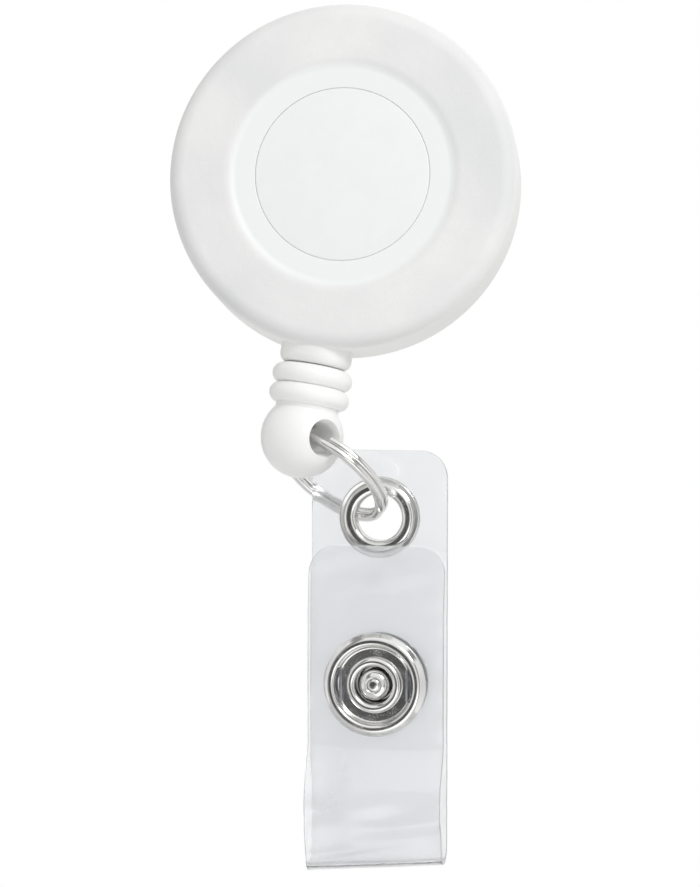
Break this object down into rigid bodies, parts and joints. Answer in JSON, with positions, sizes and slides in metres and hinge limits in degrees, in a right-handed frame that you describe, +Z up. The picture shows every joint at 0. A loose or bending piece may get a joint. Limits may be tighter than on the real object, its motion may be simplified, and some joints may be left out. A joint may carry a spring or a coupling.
{
  "type": "retractable badge reel",
  "caption": "Round retractable badge reel with a sprung spool, pull cord and ribbed ball, split ring, clear folded strap with snap, and a belt clip.",
  "frame": {"origin": "on the reel's axis, in the middle of the belt clip's gap", "axes": "the reel's axis is Y with its face to -Y; +Z up, opposite to where the cord leaves; +X to the right seen from the face"},
  "size_m": [0.0349, 0.0147, 0.0785],
  "materials": {
    "shell_plastic": "white moulded, frosted face and satin side",
    "label_plastic": "smooth white disc",
    "ball_plastic": "glossy white moulded",
    "spool_plastic": "natural acetal",
    "spring_steel": "blued strip",
    "cord_nylon": "white braided nylon",
    "nickel": "nickel plated, lightly worn",
    "clip_steel": "nickel plated spring steel",
    "clear_vinyl": "clear flexible vinyl with fine creases"
  },
  "bodies": {
    "housing": {"front_cover": "shell_plastic", "rear_cover": "shell_plastic", "face_label": "label_plastic", "cord_run": "cord_nylon", "belt_clip_plate": "clip_steel", "clip_rivet": "nickel"},
    "spool_body": {"spool": "spool_plastic", "cord_wound": "cord_nylon", "cord_anchor_knot": "cord_nylon", "power_spring": "spring_steel"},
    "cord_end": {"cord_lead": "cord_nylon", "cord_knot": "cord_nylon"},
    "ball": {"cord_ball": "ball_plastic"},
    "ring": {"split_ring": "nickel"},
    "strap": {"strap_back": "clear_vinyl", "eyelet": "nickel", "eyelet_washer": "nickel", "snap_stud": "nickel", "snap_post_cap": "nickel"},
    "flap": {"strap_front": "clear_vinyl", "snap_socket": "nickel", "snap_collar": "nickel", "snap_spring_wires": "spring_steel"},
    "tongue": {"belt_clip_tongue": "clip_steel"}
  },
  "joints": [
    {"name": "cord_pull", "type": "slide", "parent": "housing", "child": "cord_end", "axis": [0, 0, -1], "range_m": [0, 0.8], "stiffness_N_per_m": 0.9, "springref_m": -0.55, "deforming": ["cord_lead"]},
    {"name": "spool_turn", "type": "hinge", "parent": "housing", "child": "spool_body", "pos_m": [0, -0.00615, 0], "axis": [0, 1, 0], "range_deg": [-0.5, 4309], "deforming": ["power_spring"]},
    {"name": "ball_twist", "type": "hinge", "parent": "cord_end", "child": "ball", "pos_m": [0, -0.00615, -0.024], "axis": [0, 0, 1], "range_deg": [-90, 90]},
    {"name": "ring_swing", "type": "hinge", "parent": "ball", "child": "ring", "pos_m": [0, -0.00615, -0.024], "axis": [0.6947, -0.7193, 0], "range_deg": [-30, 20]},
    {"name": "strap_swing", "type": "hinge", "parent": "ring", "child": "strap", "pos_m": [0.00739, -0.00163, -0.02949], "axis": [-0.4464, 0.8752, -0.1863], "range_deg": [-4, 25]},
    {"name": "flap_open", "type": "hinge", "parent": "strap", "child": "flap", "pos_m": [0.01263, 0.00246, -0.06159], "axis": [0.9856, -0.1014, 0.1354], "range_deg": [0, 150]},
    {"name": "clip_flex", "type": "hinge", "parent": "housing", "child": "tongue", "pos_m": [0, 0, 0.0153], "axis": [1, 0, 0], "range_deg": [0, 10], "stiffness_Nm_per_rad": 0.4}
  ],
  "couplings": [
    {"joint": "spool_turn", "follows": "cord_pull", "rad_per_m": 93.994}
  ]
}
